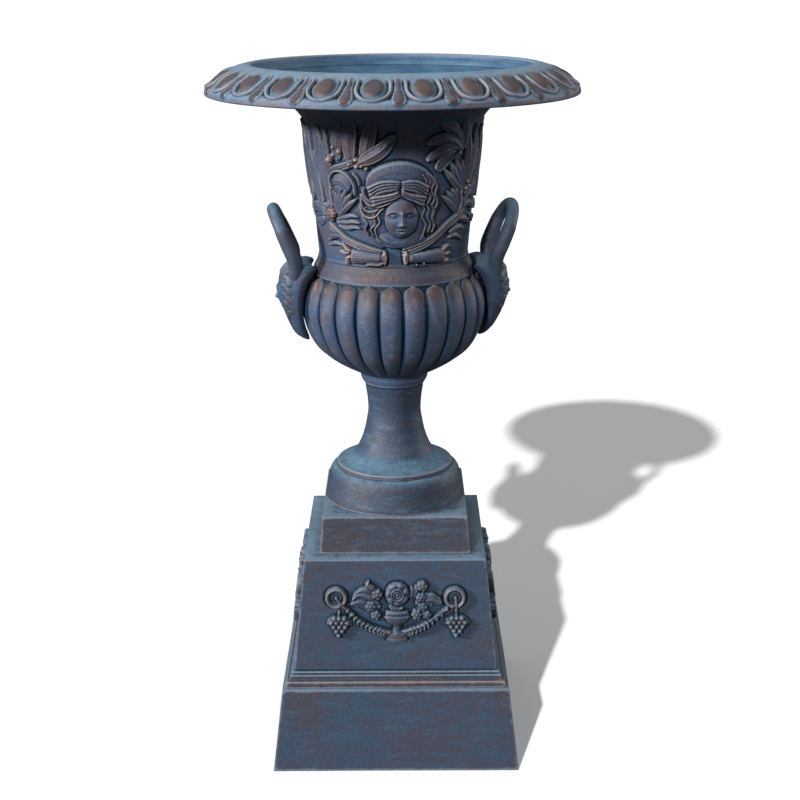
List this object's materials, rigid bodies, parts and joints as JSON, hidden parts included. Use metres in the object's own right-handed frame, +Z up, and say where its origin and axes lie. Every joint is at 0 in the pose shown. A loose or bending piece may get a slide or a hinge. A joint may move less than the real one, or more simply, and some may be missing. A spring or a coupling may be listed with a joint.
{
  "type": "pedestal urn",
  "caption": "Bell-shaped garden urn with an egg-and-dart rim, gadrooned bowl and mask handles, standing loose on a tapered square pedestal.",
  "frame": {"origin": "middle of the pedestal's footprint, on the ground", "axes": "+Z up, the front faces -Y, +X is to the right of someone looking at the front"},
  "size_m": [0.5028, 0.5028, 0.967],
  "materials": {
    "pedestal_patina": "matte blue patina rubbed back to brown on faces and edges",
    "foot_patina": "matte blue patina",
    "urn_patina": "matte blue patina with copper-brown highlights on the relief",
    "zinc_steel": "dull zinc plate",
    "black_rubber": "matte"
  },
  "bodies": {
    "pedestal": {"pedestal_base": "pedestal_patina", "pedestal_die": "pedestal_patina", "pedestal_bolt_1": "zinc_steel", "pedestal_bolt_2": "zinc_steel", "pedestal_bolt_3": "zinc_steel", "pedestal_bolt_4": "zinc_steel", "pedestal_nut_1": "zinc_steel", "pedestal_nut_2": "zinc_steel", "pedestal_nut_3": "zinc_steel", "pedestal_nut_4": "zinc_steel"},
    "urn": {"foot_plinth": "foot_patina", "foot": "foot_patina", "gadrooned_bowl": "urn_patina", "bell_body": "urn_patina", "rim_ring": "urn_patina", "left_handle": "urn_patina", "right_handle": "urn_patina", "tie_rod": "zinc_steel", "rod_seal": "black_rubber", "upper_washer": "zinc_steel", "upper_nut": "zinc_steel", "lower_washer": "zinc_steel", "lower_nut": "zinc_steel", "bell_bolt_1": "zinc_steel", "bell_bolt_2": "zinc_steel", "bell_bolt_3": "zinc_steel", "bell_bolt_4": "zinc_steel", "bell_nut_1": "zinc_steel", "bell_nut_2": "zinc_steel", "bell_nut_3": "zinc_steel", "bell_nut_4": "zinc_steel", "rim_screw_1": "zinc_steel", "rim_screw_2": "zinc_steel", "rim_screw_3": "zinc_steel", "rim_screw_4": "zinc_steel", "left_handle_bolt_1": "zinc_steel", "left_handle_washer_1": "zinc_steel", "left_handle_bolt_2": "zinc_steel", "left_handle_washer_2": "zinc_steel", "right_handle_bolt_1": "zinc_steel", "right_handle_washer_1": "zinc_steel", "right_handle_bolt_2": "zinc_steel", "right_handle_washer_2": "zinc_steel"}
  },
  "joints": [
    {"name": "urn_lift", "type": "slide", "parent": "pedestal", "child": "urn", "axis": [0, 0, 1], "range_m": [0, 0.2]}
  ]
}
